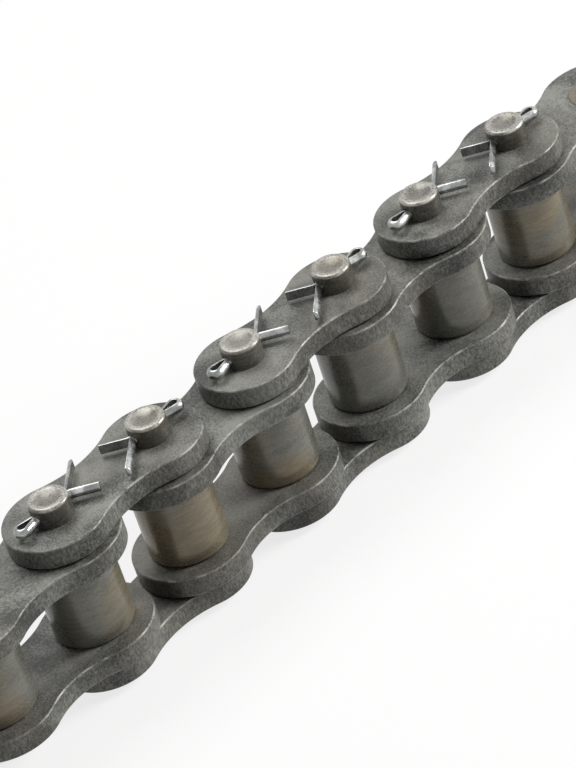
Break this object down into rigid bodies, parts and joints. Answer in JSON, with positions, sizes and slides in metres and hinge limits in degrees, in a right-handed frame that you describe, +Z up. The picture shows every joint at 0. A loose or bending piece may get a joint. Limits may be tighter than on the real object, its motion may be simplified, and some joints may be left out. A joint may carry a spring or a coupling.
{
  "type": "conveyor chain",
  "caption": "Strand of heavy roller chain: waisted side plates on bushes with free rollers, and upright pins held by splayed cotters.",
  "frame": {"origin": "middle of the strand, on the floor under the pin heads", "axes": "+X along the strand, +Y across the plates, +Z up along the pins towards the cotters"},
  "size_m": [0.1506, 0.0172, 0.0306],
  "materials": {
    "plate_steel": "dark oiled, matte",
    "bush_steel": "hardened, dull",
    "roller_steel": "hardened, smooth satin",
    "pin_steel": "hardened, brownish satin",
    "cotter_steel": "bright zinc"
  },
  "bodies": {
    "inner_link_1": {"inner_plate_lower_1": "plate_steel", "inner_plate_upper_1": "plate_steel", "bush_1": "bush_steel", "bush_2": "bush_steel"},
    "inner_link_2": {"inner_plate_lower_2": "plate_steel", "inner_plate_upper_2": "plate_steel", "bush_3": "bush_steel", "bush_4": "bush_steel"},
    "inner_link_3": {"inner_plate_lower_3": "plate_steel", "inner_plate_upper_3": "plate_steel", "bush_5": "bush_steel", "bush_6": "bush_steel"},
    "inner_link_4": {"inner_plate_lower_4": "plate_steel", "inner_plate_upper_4": "plate_steel", "bush_7": "bush_steel", "bush_8": "bush_steel"},
    "outer_link_1": {"outer_plate_lower_1": "plate_steel", "outer_plate_upper_1": "plate_steel", "pin_1": "pin_steel", "pin_2": "pin_steel", "cotter_1": "cotter_steel", "cotter_2": "cotter_steel"},
    "outer_link_2": {"outer_plate_lower_2": "plate_steel", "outer_plate_upper_2": "plate_steel", "pin_3": "pin_steel", "pin_4": "pin_steel", "cotter_3": "cotter_steel", "cotter_4": "cotter_steel"},
    "outer_link_3": {"outer_plate_lower_3": "plate_steel", "outer_plate_upper_3": "plate_steel", "pin_5": "pin_steel", "pin_6": "pin_steel", "cotter_5": "cotter_steel", "cotter_6": "cotter_steel"},
    "roller_1": {"roller_1": "roller_steel"},
    "roller_2": {"roller_2": "roller_steel"},
    "roller_3": {"roller_3": "roller_steel"},
    "roller_4": {"roller_4": "roller_steel"},
    "roller_5": {"roller_5": "roller_steel"},
    "roller_6": {"roller_6": "roller_steel"},
    "roller_7": {"roller_7": "roller_steel"},
    "roller_8": {"roller_8": "roller_steel"}
  },
  "joints": [
    {"name": "link_hinge_1", "type": "hinge", "parent": "outer_link_1", "child": "inner_link_1", "pos_m": [-0.04763, 0, 0.0143], "axis": [0, 0, -1], "range_deg": [-45, 45]},
    {"name": "link_hinge_2", "type": "hinge", "parent": "inner_link_2", "child": "outer_link_1", "pos_m": [-0.02857, 0, 0.0143], "axis": [0, 0, -1], "range_deg": [-45, 45]},
    {"name": "link_hinge_3", "type": "hinge", "parent": "outer_link_2", "child": "inner_link_2", "pos_m": [-0.00953, 0, 0.0143], "axis": [0, 0, -1], "range_deg": [-45, 45]},
    {"name": "link_hinge_4", "type": "hinge", "parent": "outer_link_2", "child": "inner_link_3", "pos_m": [0.00953, 0, 0.0143], "axis": [0, 0, 1], "range_deg": [-45, 45]},
    {"name": "link_hinge_5", "type": "hinge", "parent": "inner_link_3", "child": "outer_link_3", "pos_m": [0.02857, 0, 0.0143], "axis": [0, 0, 1], "range_deg": [-45, 45]},
    {"name": "link_hinge_6", "type": "hinge", "parent": "outer_link_3", "child": "inner_link_4", "pos_m": [0.04763, 0, 0.0143], "axis": [0, 0, 1], "range_deg": [-45, 45]},
    {"name": "roller_spin_1", "type": "hinge", "parent": "inner_link_1", "child": "roller_1", "pos_m": [-0.06667, 0, 0.0143], "axis": [0, 0, 1], "continuous": true},
    {"name": "roller_spin_2", "type": "hinge", "parent": "inner_link_1", "child": "roller_2", "pos_m": [-0.04763, 0, 0.0143], "axis": [0, 0, 1], "continuous": true},
    {"name": "roller_spin_3", "type": "hinge", "parent": "inner_link_2", "child": "roller_3", "pos_m": [-0.02857, 0, 0.0143], "axis": [0, 0, 1], "continuous": true},
    {"name": "roller_spin_4", "type": "hinge", "parent": "inner_link_2", "child": "roller_4", "pos_m": [-0.00953, 0, 0.0143], "axis": [0, 0, 1], "continuous": true},
    {"name": "roller_spin_5", "type": "hinge", "parent": "inner_link_3", "child": "roller_5", "pos_m": [0.00953, 0, 0.0143], "axis": [0, 0, 1], "continuous": true},
    {"name": "roller_spin_6", "type": "hinge", "parent": "inner_link_3", "child": "roller_6", "pos_m": [0.02857, 0, 0.0143], "axis": [0, 0, 1], "continuous": true},
    {"name": "roller_spin_7", "type": "hinge", "parent": "inner_link_4", "child": "roller_7", "pos_m": [0.04763, 0, 0.0143], "axis": [0, 0, 1], "continuous": true},
    {"name": "roller_spin_8", "type": "hinge", "parent": "inner_link_4", "child": "roller_8", "pos_m": [0.06667, 0, 0.0143], "axis": [0, 0, 1], "continuous": true}
  ]
}
